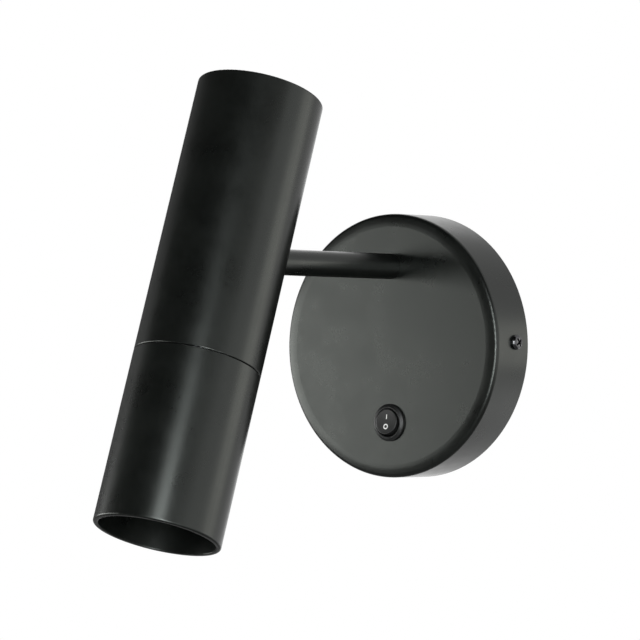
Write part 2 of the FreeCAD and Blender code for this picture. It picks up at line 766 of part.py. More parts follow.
def make_base_leads():
    """The single wires between the terminal block, the switch, the arm and earth."""
    blade_side = "(blade_spread + blade_thick / 2 + wire_radius)"
    blade_out = "(canopy_depth - switch_body_depth - blade_long / 2)"
    mouth_out = "(canopy_depth - nipple_in_canopy - wire_at_mouth)"
    inside_block = "(block_face + wire_in_block)"
    before_block = "(block_face - wire_from_block)"
    wire_piece("live_lead", "wall", "wire_radius", [
        (inside_block, "-block_wires_out", "-terminal_pitch"),
        (before_block, "-block_wires_out", "-terminal_pitch"),
        (blade_side, f"-{blade_out}", "-terminal_pitch - wire_below_row"),
        (blade_side, f"-{blade_out}", "-switch_drop + blade_half_wide / 2")])
    wire_piece("switched_lead", "wall", "wire_radius", [
        (f"-{blade_side}", f"-{blade_out}", "-switch_drop + blade_half_wide / 2"),
        (f"-{blade_side}", f"-{blade_out}", "-bracket_half_width - wire_beside_row"),
        ("-wire_pass_place", "-wire_pass_out", "-bracket_half_width"),
        ("-wire_pass_place", "-wire_pass_out", "bracket_half_width + wire_pass_rise"),
        ("-2 * wire_radius", f"-{mouth_out}", "arm_height - wire_mouth_drop"),
        ("-2 * wire_radius", f"-{mouth_out}", "arm_height - wire_below_mouth")])
    wire_piece("neutral_lead", "wall", "wire_radius", [
        (inside_block, "-block_wires_out", "terminal_pitch"),
        (before_block, "-block_wires_out", "terminal_pitch"),
        ("2 * wire_radius", f"-{mouth_out}", "terminal_pitch + wire_beside_row"),
        ("2 * wire_radius", f"-{mouth_out}", "arm_height - wire_below_mouth")])
    tag_out = "(bracket_thick + earth_tag_thick + wire_radius)"
    wire_piece("earth_lead", "wall", "wire_radius", [
        (inside_block, "-block_wires_out", "0"),
        ("wire_radius", "-block_wires_out", "0"),
        ("-entry_flange_radius - 3 * wire_radius", f"-{tag_out}", "0"),
        ("-earth_place + earth_screw_radius + wire_tag_overlap", f"-{tag_out}", "0")])


def make_stop_stud():
    """A stud welded inside the canopy, which the stop washer's tab meets at each end."""
    body = new_body("stop_stud")
    drawing = Drawing(body, "XZ_Plane", "-canopy_wall - stop_stud_tall")
    drawing.circle("0", "stop_stud_place", "stop_stud_radius")
    pad(body, drawing, "stop_stud_tall")
    settle(body, "root")


# ---- rocker switch ------------------------------------------------------------------------

def make_switch_body():
    """A round snap-in housing whose domed flange covers the cut-out in the canopy."""
    body = new_body("switch_body")
    revolve(body, Drawing(body, "XY_Plane").polygon([
        ("0", "switch_body_depth"),
        ("0", "switch_body_depth - switch_floor"),
        ("switch_opening", "switch_body_depth - switch_floor"),
        ("switch_opening", "-bezel_lip"),
        ("switch_opening + bezel_crest_out", "-bezel_tall"),
        ("bezel_radius", "-bezel_rim"),
        ("bezel_radius", "0"),
        ("switch_body_radius", "0"),
        ("switch_body_radius", "switch_body_depth")]))
    crest = ring_at(along_y, "-bezel_tall", "switch_opening + bezel_crest_out")
    rim = ring_at(along_y, "-bezel_rim", "bezel_radius")
    round_edges(body, crest, "bezel_crest_round")
    round_edges(body, rim, "bezel_rim_round")
    for side in (-1, 1):
        barb = Drawing(body, "YZ_Plane").polygon([
            ("canopy_wall", f"{side} * (switch_body_radius + barb_reach)"),
            ("canopy_wall + barb_length", f"{side} * (switch_body_radius - switch_hole_gap)"),
            ("canopy_wall", f"{side} * (switch_body_radius - switch_hole_gap)")])
        pad(body, barb, "2 * barb_half_width", both_ways=True)
    bearing = Drawing(body, "YZ_Plane")
    bearing.circle("rocker_hinge_depth", "0", "rocker_pin_radius + pivot_gap")
    pocket(body, bearing, "2 * switch_body_radius", both_ways=True)
    settle(body, "switch")

    blades = new_body("switch_terminals")
    drawing = Drawing(blades, "XZ_Plane", "-switch_body_depth - blade_long")
    for side in (-1, 1):
        drawing.rectangle(f"{side} * blade_spread - blade_thick / 2",
                          f"{side} * blade_spread + blade_thick / 2",
                          "-blade_half_wide", "blade_half_wide")
    pad(blades, drawing, "blade_long")
    settle(blades, "switch")


def make_rocker():
    """A round button that rocks on two side pins. Its pressed half is the I half."""
    body = new_body("rocker")
    revolve(body, Drawing(body, "XY_Plane").polygon([
        ("0", "rocker_skirt"),
        ("0", "-rocker_face"),
        ("rocker_radius", "-rocker_face"),
        ("rocker_radius", "rocker_skirt")]))
    front = ring_at(along_y, "-rocker_face", "rocker_radius")
    round_edges(body, front, "rocker_edge")
    pins = Drawing(body, "YZ_Plane").circle("0", "0", "rocker_pin_radius")
    pad(body, pins, "2 * rocker_pin_end", both_ways=True)
    settle(body, "rocker")

    marks = new_body("rocker_marks")
    drawing = Drawing(marks, "XZ_Plane", "rocker_face")
    drawing.rectangle("-mark_bar_half_wide", "mark_bar_half_wide",
                      "mark_offset - mark_bar_half_tall", "mark_offset + mark_bar_half_tall")
    drawing.circle("0", "-mark_offset", "mark_ring_outer")
    drawing.circle("0", "-mark_offset", "mark_ring_inner")
    pad(marks, drawing, "mark_thick")
    settle(marks, "rocker")


# ---- arm ------------------------------------------------------------------------------------

def make_arm_tube():
    """The straight steel tube of the arm, with a hole under its end for the flex."""
    body = new_body("arm_tube")
    revolve(body, Drawing(body, "XY_Plane").polygon([
        ("arm_bore", "knuckle_length"),
        ("arm_radius", "knuckle_length"),
        ("arm_radius", "arm_root - root_gap"),
        ("arm_bore", "arm_root - root_gap")]))
    hole = Drawing(body, "XY_Plane").circle("0", "flex_exit_place", "flex_exit_radius")
    pocket(body, hole)
    settle(body, "arm")


def make_arm_fixings():
    """The hollow nipple, washers and nut that let the arm turn stiffly in the canopy."""
    ring_piece("arm_nipple", "root", "-nipple_in_arm", "nipple_in_arm + nipple_in_canopy",
               "arm_bore", "nipple_bore")
    ring_piece("friction_washer", "root", "friction_washer_at", "friction_washer_thick",
               "friction_washer_radius", "arm_bore + fixed_gap")
    ring_piece("spring_washer", "root", "spring_washer_at", "spring_washer_thick",
               "spring_washer_radius", "arm_bore + fixed_gap")

    washer = new_body("stop_washer")
    start = "-stop_washer_at - stop_washer_thick"
    disc = Drawing(washer, "XZ_Plane", start).circle("0", "0", "stop_washer_radius")
    pad(washer, disc, "stop_washer_thick")
    tab = Drawing(washer, "XZ_Plane", start).rectangle(
        "-stop_tab_half_width", "stop_tab_half_width", "-stop_tab_reach",
        "-stop_washer_radius / 2 - arm_bore / 2")
    pad(washer, tab, "stop_washer_thick")
    hole = Drawing(washer, "XZ_Plane").circle("0", "0", "arm_bore + fixed_gap")
    pocket(washer, hole)
    settle(washer, "root")

    nut = new_body("lock_nut")
    drawing = Drawing(nut, "XZ_Plane", "-lock_nut_at - lock_nut_thick")
    drawing.hexagon("lock_nut_flats")
    drawing.circle("0", "0", "arm_bore")
    pad(nut, drawing, "lock_nut_thick")
    settle(nut, "root")


def make_tilt_knuckle():
    """The plug in the arm's end, with a flat eye that the head's frame pivots on."""
    body = new_body("tilt_knuckle")
    eye = Drawing(body, "YZ_Plane")
    eye.slot(("0", "0"), ("knuckle_length - knuckle_shoulder / 2", "0"), "arm_radius",
             upright=False)
    pad(body, eye, "2 * knuckle_half_width", both_ways=True)
    pocket(body, Drawing(body, "XZ_Plane", "-knuckle_length").rectangle(
        "-2 * arm_radius", "2 * arm_radius", "-2 * arm_radius", "2 * arm_radius"))
    revolve(body, Drawing(body, "XY_Plane").polygon([
        ("0", "knuckle_length - knuckle_shoulder"),
        ("arm_radius", "knuckle_length - knuckle_shoulder"),
        ("arm_radius", "knuckle_length"),
        ("arm_bore", "knuckle_length"),
        ("arm_bore", "knuckle_length + knuckle_plug"),
        ("0", "knuckle_length + knuckle_plug")]))
    hole = Drawing(body, "YZ_Plane").circle("0", "0", "pivot_radius + pivot_gap")
    pocket(body, hole, both_ways=True)
    settle(body, "arm")


def make_arm_flex():
    """The flex from the canopy through the arm, out under the arm's end."""
    wire_piece("arm_flex", "arm", "flex_radius", [
        ("0", "arm_root + nipple_in_canopy + flex_tail", "0"),
        ("0", "flex_exit_place + flex_turn_run", "0"),
        ("0", "flex_exit_place + flex_lean", "-arm_bore / 2"),
        ("0", "flex_exit_place", "-arm_radius - flex_radius")])


# ---- tube head --------------------------------------------------------------------------------

def make_upper_tube():
    """The closed upper tube, slotted at the back so that it can tilt over the arm."""
    body = new_body("upper_tube")
    revolve(body, Drawing(body, "XZ_Plane").polygon([
        ("0", "pivot_below_top"),
        ("tube_radius", "pivot_below_top"),
        ("tube_radius", "upper_end"),
        ("tube_bore", "upper_end"),
        ("tube_bore", "frame_top"),
        ("0", "frame_top")]))
    round_edges(body, ring_at(along_z, "pivot_below_top", "tube_radius"), "top_round")
    round_edges(body, ring_at(along_z, "upper_end", "tube_radius"), "seam_upper_round")
    slot = Drawing(body, "XZ_Plane")
    slot.slot(("0", "slot_low"), ("0", "slot_high"), "arm_slot_half", upright=True)
    pocket(body, slot)
    screws = Drawing(body, "YZ_Plane").circle("0", "sleeve_screw_height", "sleeve_screw_radius")
    pocket(body, screws, "2 * (tube_radius - sleeve_screw_skin)", both_ways=True)
    settle(body, "head")


def make_lower_tube():
    """The lower tube, which slides off the sleeve so that the lamp can be reached."""
    body = new_body("lower_tube")
    revolve(body, Drawing(body, "XZ_Plane").polygon([
        ("tube_bore", "lower_start"),
        ("tube_radius", "lower_start"),
        ("tube_radius", "lower_end"),
        ("tube_bore", "lower_end")]))
    round_edges(body, ring_at(along_z, "lower_start", "tube_radius"), "seam_lower_round")
    round_edges(body, ring_at(along_z, "lower_end", "tube_radius"), "lip_round")
    round_edges(body, ring_at(along_z, "lower_end", "tube_bore"), "lip_inner_round")
    settle(body, "head")


def make_joint_sleeve():
    """The turned sleeve in the seam, its grub screws and the split ring that grips."""
    body = new_body("joint_sleeve")
    revolve(body, Drawing(body, "XZ_Plane").polygon([
        ("sleeve_bore", "sleeve_top"),
        ("tube_bore", "sleeve_top"),
        ("tube_bore", "upper_end"),
        ("sleeve_slide", "upper_end"),
        ("sleeve_slide", "groove_height + groove_half_width"),
        ("groove_radius", "groove_height + groove_half_width"),
        ("groove_radius", "groove_height - groove_half_width"),
        ("sleeve_slide", "groove_height - groove_half_width"),
        ("sleeve_slide", "sleeve_bottom"),
        ("sleeve_bore", "sleeve_bottom")]))
    holes = Drawing(body, "YZ_Plane").circle("0", "sleeve_screw_height", "sleeve_screw_radius")
    pocket(body, holes, both_ways=True)
    settle(body, "head")

    screws = new_body("sleeve_screws")
    reach = "(tube_radius - sleeve_screw_skin - sleeve_bore)"
    for start in ("sleeve_bore", f"-sleeve_bore - {reach}"):
        drawing = Drawing(screws, "YZ_Plane", start)
        drawing.circle("0", "sleeve_screw_height", "sleeve_screw_radius")
        pad(screws, drawing, reach)
    settle(screws, "head")

    ring = document.addObject("Part::Torus", "grip_ring")
    ring.Label = "grip_ring"
    ring.setExpression("Radius1", formula("tube_bore - grip_gap - grip_wire_radius"))
    ring.setExpression("Radius2", formula("grip_wire_radius"))
    ring.setExpression("Angle3", formula("grip_ring_turn"))
    settle(ring, "head", up="groove_height")


def make_head_frame():
    """A bent steel frame that hangs from the tube's top and straddles the knuckle."""
    body = new_body("head_frame")
    pad(body, Drawing(body, "XZ_Plane").polygon([
        ("-frame_outer", "frame_top"),
        ("frame_outer", "frame_top"),
        ("frame_outer", "foot_top"),
        ("foot_reach", "foot_top"),
        ("foot_reach", "foot_bottom"),
        ("frame_inner", "foot_bottom"),
        ("frame_inner", "frame_web"),
        ("-frame_inner", "frame_web"),
        ("-frame_inner", "foot_bottom"),
        ("-foot_reach", "foot_bottom"),
        ("-foot_reach", "foot_top"),
        ("-frame_outer", "foot_top")]), "2 * frame_half_depth", both_ways=True)
    outside = lines_through(along_y, ("-frame_outer", "0", "frame_top"),
                            ("frame_outer", "0", "frame_top"),
                            ("-frame_inner", "0", "foot_bottom"),
                            ("frame_inner", "0", "foot_bottom"))
    round_edges(body, outside, "bend_radius + frame_thick")
    inside = lines_through(along_y, ("-frame_inner", "0", "frame_web"),
                           ("frame_inner", "0", "frame_web"),
                           ("-frame_outer", "0", "foot_top"),
                           ("frame_outer", "0", "foot_top"))
    round_edges(body, inside, "bend_radius")
    upright = Drawing(body, "XY_Plane")
    upright.circle("0", "0", "stud_radius + fixed_gap")
    upright.circle("-foot_screw_place", "0", "small_screw_radius + fixed_gap")
    upright.circle("foot_screw_place", "0", "small_screw_radius + fixed_gap")
    pocket(body, upright, both_ways=True)
    pivot = Drawing(body, "YZ_Plane").circle("0", "0", "pivot_radius")
    pocket(body, pivot, both_ways=True)
    settle(body, "head")

    stud = new_body("top_stud")
    drawing = Drawing(stud, "XY_Plane", "frame_top - stud_long")
    drawing.circle("0", "0", "stud_radius")
    pad(stud, drawing, "stud_long")
    settle(stud, "head")

    nut = new_body("frame_nut")
    drawing = Drawing(nut, "XY_Plane", "frame_web - frame_nut_thick")
    drawing.hexagon("frame_nut_flats")
    drawing.circle("0", "0", "stud_radius")
    pad(nut, drawing, "frame_nut_thick")
    settle(nut, "head")


def make_pivot():
    """The bolt, nut and brake washers that hold the head at its angle."""
    turned_piece("pivot_bolt", "head", "XY_Plane", "H_Axis", [
        ("-pivot_tip", "0"),
        ("-pivot_tip", "pivot_radius"),
        ("frame_outer", "pivot_radius"),
        ("frame_outer", "pivot_head_radius"),
        ("frame_outer + pivot_head_tall", "pivot_head_radius"),
        ("frame_outer + pivot_head_tall", "0")])

    nut = new_body("pivot_nut")
    drawing = Drawing(nut, "YZ_Plane", "-frame_outer - pivot_nut_thick")
    drawing.hexagon("pivot_nut_flats")
    drawing.circle("0", "0", "pivot_radius")
    pad(nut, drawing, "pivot_nut_thick")
    settle(nut, "head")

    washers = new_body("brake_washers")
    thick = "(frame_inner - knuckle_half_width - pivot_gap)"
    for start in ("-frame_inner", f"frame_inner - {thick}"):
        drawing = Drawing(washers, "YZ_Plane", start)
        drawing.circle("0", "0", "brake_washer_radius")
        drawing.circle("0", "0", "pivot_radius")
        pad(washers, drawing, thick)
    settle(washers, "head")


def make_holder_plate():
    """The disc under the frame's feet that carries the lampholder, and its screws."""
    body = new_body("holder_plate")
    drawing = Drawing(body, "XY_Plane", "plate_bottom")
    drawing.circle("0", "0", "plate_radius")
    drawing.circle("0", "0", "plate_wire_hole")
    for side in (-1, 1):
        drawing.circle(f"{side} * foot_screw_place", "0", "small_screw_radius")
        drawing.circle("0", f"{side} * holder_screw_place", "small_screw_radius")
    pad(body, drawing, "plate_thick")
    settle(body, "head")

    screws = new_body("plate_screws")
    shanks = Drawing(screws, "XY_Plane", "plate_bottom")
    heads = Drawing(screws, "XY_Plane", "foot_top")
    for side in (-1, 1):
        shanks.circle(f"{side} * foot_screw_place", "0", "small_screw_radius")
        heads.circle(f"{side} * foot_screw_place", "0", "small_head_radius")
    pad(screws, shanks, "foot_top - plate_bottom")
    pad(screws, heads, "small_head_tall")
    settle(screws, "head")


def make_lampholder():
    """A ceramic twist-and-lock lampholder with two curved wells for the lamp's pins."""
    body = new_body("lampholder")
    pad(body, Drawing(body, "XY_Plane", "holder_face").rectangle(
        "-holder_half_wide", "holder_half_wide", "-holder_half_long", "holder_half_long"),
        "holder_tall")
    bore = Drawing(body, "XY_Plane", "plate_bottom").circle("0", "0", "lead_bore_radius")
    pocket(body, bore, "lead_bore_depth")
    through = Drawing(body, "XY_Plane")
    sunk = Drawing(body, "XY_Plane", "holder_face")
    for side in (-1, 1):
        through.circle("0", f"{side} * holder_screw_place", "small_screw_radius + fixed_gap")
        sunk.circle("0", f"{side} * holder_screw_place", "counterbore_radius")
    pocket(body, through)
    pocket(body, sunk, "counterbore_depth", forward=True)
    well = Drawing(body, "XZ_Plane", swing="-twist / 2")
    well.rectangle("pin_spread - pin_well_half", "pin_spread + pin_well_half",
                   "holder_face", "well_ceiling")
    turned_well = body.newObject("PartDesign::Groove", "lampholder_well")
    turned_well.Profile = (well.sketch, [""])
    turned_well.ReferenceAxis = (well.sketch, ["V_Axis"])
    turned_well.setExpression("Angle", formula("pin_well_turn"))
    turned_well.Midplane = True
    both_wells = body.newObject("PartDesign::PolarPattern", "lampholder_wells")
    both_wells.Originals = [turned_well]
    both_wells.Axis = (well.sketch, ["V_Axis"])
    both_wells.Angle = 360
    both_wells.Occurrences = 2
    body.Tip = both_wells
    settle(body, "head")

    contacts = new_body("lampholder_contacts")
    drawing = Drawing(contacts, "XY_Plane", "well_ceiling - contact_thick")
    for side in (-1, 1):
        drawing.rectangle(f"{side} * pin_spread - contact_half",
                          f"{side} * pin_spread + contact_half",
                          "-contact_half", "contact_half")
    pad(contacts, drawing, "contact_thick")
    settle(contacts, "head")

    screws = new_body("holder_screws")
    seat = "(holder_face + counterbore_depth)"
    heads = Drawing(screws, "XY_Plane", f"{seat} - small_head_tall")
    shanks = Drawing(screws, "XY_Plane", seat)
    for side in (-1, 1):
        heads.circle("0", f"{side} * holder_screw_place", "small_head_radius")
        shanks.circle("0", f"{side} * holder_screw_place", "small_screw_radius")
    pad(screws, heads, "small_head_tall")
    pad(screws, shanks, f"foot_bottom - {seat}")
    settle(screws, "head")


def make_lamp_leads():
    """The sleeved leads from the lampholder up to where the flex leaves the arm."""
    level = "(-arm_radius - lead_under_arm)"
    wire_piece("lamp_leads", "head", "lead_radius", [
        ("0", "0", "plate_bottom - lead_bore_depth + lead_end_gap"),
        ("0", "0", f"(foot_bottom + {level}) / 2"),
        ("0", "flex_exit_place / 2", level),
        ("0", "flex_exit_place - lead_short_of_exit", level)])


# ---- lamp ---------------------------------------------------------------------------------------

def make_lamp():
    """A reflector lamp: pinned cap, cone-shaped body and a front lens."""
    turned_piece("lamp_cap", "head", "XZ_Plane", "V_Axis", [
        ("0", "lamp_base"),
        ("lamp_cap_top_radius", "lamp_base"),
        ("lamp_cap_radius", "lamp_base - lamp_cap_step"),
        ("lamp_cap_radius", "lamp_base - lamp_cap_tall"),
        ("0", "lamp_base - lamp_cap_tall")])

    pins = new_body("lamp_pins")
    necks = Drawing(pins, "XY_Plane", "lamp_base")
    heads = Drawing(pins, "XY_Plane", "lamp_base + pin_neck_long")
    for side in (-1, 1):
        necks.circle(f"{side} * pin_spread", "0", "pin_neck_radius")
        heads.circle(f"{side} * pin_spread", "0", "pin_head_radius")
    pad(pins, necks, "pin_neck_long")
    pad(pins, heads, "pin_head_long")
    settle(pins, "head")

    turned_piece("lamp_body", "head", "XZ_Plane", "V_Axis", [
        ("0", "lamp_base - lamp_cap_tall"),
        ("lamp_neck_radius", "lamp_base - lamp_cap_tall"),
        ("lamp_shoulder_radius", "lamp_base - lamp_shoulder"),
        ("lamp_radius", "lamp_base - lamp_cone_end"),
        ("lamp_radius", "lamp_base - lamp_long"),
        ("lamp_radius - lamp_wall", "lamp_base - lamp_long"),
        ("lamp_radius - lamp_wall", "lamp_base - lamp_cone_end"),
        ("lamp_shoulder_radius - lamp_wall", "lamp_base - lamp_shoulder - lamp_wall"),
        ("0", "lamp_base - lamp_shoulder - lamp_wall")])

    lens = new_body("lamp_lens")
    drawing = Drawing(lens, "XY_Plane", "lamp_base - lamp_long + lens_inset")
    drawing.circle("0", "0", "lamp_radius - lamp_wall")
    pad(lens, drawing, "lens_thick")
    settle(lens, "head")


make_canopy()
make_wall_bracket()
make_side_screws()
make_entry_bush()
make_terminal_block()
make_earth_point()
make_base_leads()
make_stop_stud()
make_switch_body()
make_rocker()
make_arm_tube()
make_arm_fixings()
make_tilt_knuckle()
make_arm_flex()
make_upper_tube()
make_lower_tube()
make_joint_sleeve()
make_head_frame()
make_pivot()
make_holder_plate()
make_lampholder()
make_lamp_leads()
make_lamp()

# Nothing is written unless every object is sound.
document.recompute()
for thing in document.Objects:
    if "Invalid" in thing.State or "Error" in thing.State:
        raise ValueError(f"{thing.Label} failed: {thing.State}")
for piece in sub_parts:
    if piece.Shape.isNull() or not piece.Shape.isValid():
        raise ValueError(f"{piece.Label} has no sound shape")

os.makedirs("parts", exist_ok=True)
for piece in sub_parts:
    piece.Shape.exportStep(f"parts/{piece.Label}.step")
print(f"{len(sub_parts)} sub-parts written")
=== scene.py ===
import json
import math

import bmesh
import bpy
import numpy as np
from mathutils import Matrix, Vector


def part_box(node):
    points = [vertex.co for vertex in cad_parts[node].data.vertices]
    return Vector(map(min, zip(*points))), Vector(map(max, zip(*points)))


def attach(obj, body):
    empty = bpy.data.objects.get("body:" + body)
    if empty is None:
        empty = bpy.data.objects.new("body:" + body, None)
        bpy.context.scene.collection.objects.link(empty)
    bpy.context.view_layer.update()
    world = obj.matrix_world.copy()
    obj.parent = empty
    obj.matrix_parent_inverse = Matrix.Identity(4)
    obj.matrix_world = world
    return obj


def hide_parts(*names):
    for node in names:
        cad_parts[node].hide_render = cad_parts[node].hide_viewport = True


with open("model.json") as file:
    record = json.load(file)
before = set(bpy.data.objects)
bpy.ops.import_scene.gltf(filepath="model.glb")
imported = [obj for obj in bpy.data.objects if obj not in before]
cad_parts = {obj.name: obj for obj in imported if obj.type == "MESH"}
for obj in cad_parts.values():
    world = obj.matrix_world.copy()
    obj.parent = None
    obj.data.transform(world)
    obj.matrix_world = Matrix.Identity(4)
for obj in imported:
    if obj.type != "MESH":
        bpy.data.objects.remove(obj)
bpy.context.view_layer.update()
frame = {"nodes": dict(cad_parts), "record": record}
print("frame loaded:", len(frame["nodes"]), "nodes")

mm = 0.001


# The camera, at the photograph's viewing angle.
cameraSetting = {
    "azimuth": 38.45,  # degrees round from straight in front of the wall, towards +X
    "elevation": -1.03,
    "distance": 2000 * mm,
    "right": -46.62 * mm,  # where the image's centre lies, across the view
    "up": 11.97 * mm,
    "lens": 245.19,
    "sensor": 36.0,
}


# Three directions of the view: right in the image, up in the image, and towards the camera.
def viewDirections(azimuth, elevation):
    a, e = math.radians(azimuth), math.radians(elevation)
    right = Vector((math.cos(a), math.sin(a), 0))
    up = Vector((-math.sin(e) * math.sin(a), math.sin(e) * math.cos(a), math.cos(e)))
    towards = Vector((math.sin(a) * math.cos(e), -math.cos(a) * math.cos(e), math.sin(e)))
    return right, up, towards


def makeCamera(setting):
    right, up, towards = viewDirections(setting["azimuth"], setting["elevation"])
    data = bpy.data.cameras.new("camera")
    data.lens = setting["lens"]
    data.sensor_width = setting["sensor"]
    data.clip_start, data.clip_end = 0.05, 50
    camera = bpy.data.objects.new("camera", data)
    bpy.context.scene.collection.objects.link(camera)
    place = right * setting["right"] + up * setting["up"] + towards * setting["distance"]
    turn = Matrix((right, up, towards)).transposed().to_4x4()
    camera.matrix_world = Matrix.Translation(place) @ turn
    bpy.context.scene.camera = camera


makeCamera(cameraSetting)
print("camera placed")


class Wire:  # an output socket of a material, with its maths written as Python
    def __init__(self, graph, socket):
        self.graph, self.socket = graph, socket

    def maths(self, operation, first, second):
        return self.graph.node("ShaderNodeMath", {"operation": operation}, (first, second))

    def __add__(self, other):
        return self.maths("ADD", self, other)

    def __radd__(self, other):
        return self.maths("ADD", other, self)

    def __sub__(self, other):
        return self.maths("SUBTRACT", self, other)

    def __rsub__(self, other):
        return self.maths("SUBTRACT", other, self)

    def __mul__(self, other):
        return self.maths("MULTIPLY", self, other)

    def __rmul__(self, other):
        return self.maths("MULTIPLY", other, self)


class Graph:  # the node tree of one material or of the world
    def __init__(self, tree):
        self.tree = tree
        tree.nodes.clear()

    def node(self, kind, settings=None, values=(), out=0):
        made = self.tree.nodes.new(kind)
        for name, value in (settings or {}).items():
            setattr(made, name, value)
        for key, value in (values.items() if isinstance(values, dict) else enumerate(values)):
            if isinstance(value, Wire):
                self.tree.links.new(value.socket, made.inputs[key])
            else:
                made.inputs[key].default_value = value
        return Wire(self, made.outputs[out]) if made.outputs else None

    def place(self):  # the piece's own coordinates, in metres
        return self.node("ShaderNodeTexCoord", out="Object")

    def noise(self, scale, detail=2.0, roughness=0.5, at=None):
        values = {"Vector": at or self.place(), "Scale": scale, "Detail": detail,
                  "Roughness": roughness}
        return self.node("ShaderNodeTexNoise", None, values, out=0)

    def ramp(self, factor, low, high, start=0.0, end=1.0):  # a value eased from low to high
        values = (factor, start, end, low, high)
        return self.node("ShaderNodeMapRange", {"interpolation_type": "SMOOTHSTEP"}, values)

    def mix(self, factor, first, second):
        return self.node("ShaderNodeMix", {"data_type": "RGBA"},
                         {0: factor, 6: first, 7: second}, out=2)

    def bump(self, height, distance, strength=1.0, under=None):
        values = {"Height": height, "Distance": distance, "Strength": strength}
        if under:
            values["Normal"] = under
        return self.node("ShaderNodeBump", None, values)

    def seenInGloss(self):  # 1 where a surface is seen by reflection or through glass
        return (self.node("ShaderNodeLightPath", out="Is Glossy Ray")
                + self.node("ShaderNodeLightPath", out="Is Transmission Ray"))

    def surface(self, shader):
        self.node("ShaderNodeOutputMaterial", None, {"Surface": shader})

    def principled(self, values):
        self.surface(self.node("ShaderNodeBsdfPrincipled", None, values))


def newMaterial(name):
    material = bpy.data.materials.new(name)
    material.use_nodes = True
    return material, Graph(material.node_tree)


def grey(level):
    return (level, level, level, 1.0)


paint = {
    "colour": (0.0022, 0.0026, 0.0023, 1.0),
    "cloud": (0.0042, 0.0048, 0.0043, 1.0),
    "sheen": (0.95, 1.0, 0.95, 1.0),  # the faint green of its gloss
    "roughness": (0.27, 0.32),
    "cloudScale": 45.0,
    "peelScale": 900.0,
    "peelHeight": 0.006 * mm,
    "speckScale": 2200.0,
    "speckHeight": 0.0015 * mm,
}


# Satin spray paint: clouds in tone and gloss, orange peel, and a fine grain of dust.
def makePaint(name, values):
    material, g = newMaterial(name)
    clouds = g.noise(values["cloudScale"], 3.0, 0.55)
    fine = g.noise(values["cloudScale"] * 9, 2.0)
    tone = g.ramp(clouds * 0.75 + fine * 0.25, 0.0, 1.0, 0.3, 0.7)
    colour = g.mix(tone, values["colour"], values["cloud"])
    peel = g.noise(values["peelScale"], 2.0)
    speck = g.noise(values["speckScale"], 1.0)
    normal = g.bump(speck, values["speckHeight"], 0.6, g.bump(peel, values["peelHeight"]))
    g.principled({
        "Base Color": colour,
        "Specular Tint": values["sheen"],
        "Roughness": g.ramp(tone, *values["roughness"]),
        "Normal": normal})
    return material


plastic = {
    "colour": (0.0040, 0.0042, 0.0040, 1.0),
    "roughness": (0.38, 0.48),
    "grainScale": 2600.0,
    "grainHeight": 0.008 * mm,
}


# Moulded plastic: an even colour, a fine spark-eroded grain, and gloss that wanders a little.
def makePlastic(name, values):
    material, g = newMaterial(name)
    patch = g.noise(240.0, 2.0)
    grain = g.noise(values["grainScale"], 2.0)
    shade = tuple(c * 1.5 for c in values["colour"][:3]) + (1.0,)
    g.principled({
        "Base Color": g.mix(g.ramp(patch, 0.0, 1.0, 0.35, 0.65), values["colour"], shade),
        "Roughness": g.ramp(patch, *values["roughness"], 0.3, 0.7),
        "Normal": g.bump(grain, values["grainHeight"])})
    return material


scratchDeep = 0.006 * mm


# Metal: fine scratches stretched along one axis, over soft patches of colour and gloss.
def makeMetal(name, colour, shade, roughness, stretch=(900.0, 40.0, 900.0)):
    material, g = newMaterial(name)
    along = g.node("ShaderNodeMapping", None, {"Vector": g.place(), "Scale": stretch})
    lines = g.noise(1.6, 4.0, 0.7, along)
    patch = g.noise(120.0, 3.0)
    tone = g.ramp(patch, 0.0, 1.0, 0.3, 0.7)
    g.principled({
        "Base Color": g.mix(tone, colour, shade),
        "Metallic": 1.0,
        "Roughness": g.ramp(lines * 0.6 + tone * 0.4, *roughness, 0.25, 0.75),
        "Normal": g.bump(lines, scratchDeep)})
    return material


# Matt stuff such as rubber, fibre, nylon and glazed or bare ceramic: mottled, faintly pitted.
def makeMatt(name, colour, shade, roughness, scale, height):
    material, g = newMaterial(name)
    patch = g.noise(scale * 0.12, 3.0)
    pits = g.noise(scale, 3.0, 0.6)
    tone = g.ramp(patch, 0.0, 1.0, 0.3, 0.7)
    g.principled({
        "Base Color": g.mix(tone, colour, shade),
        "Roughness": g.ramp(tone, *roughness),
        "Normal": g.bump(pits, height)})
    return material


def makeGlass(name):
    material, g = newMaterial(name)
    haze = g.noise(90.0, 2.0)
    ripple = g.noise(260.0, 2.0)
    g.principled({
        "Base Color": g.mix(haze, (0.80, 0.83, 0.84, 1.0), (0.90, 0.92, 0.92, 1.0)),
        "Roughness": g.ramp(haze, 0.06, 0.16, 0.35, 0.7),
        "Coat Weight": g.ramp(haze, 0.6, 1.0),
        "Normal": g.bump(ripple, 0.02 * mm)})
    return material


# The sheaths of the leads and the flex, which differ in colour alone.
def makeSheath(name, colour):
    return makePlastic(name, {"colour": colour, "roughness": (0.35, 0.5),
                              "grainScale": 1800.0, "grainHeight": 0.01 * mm})


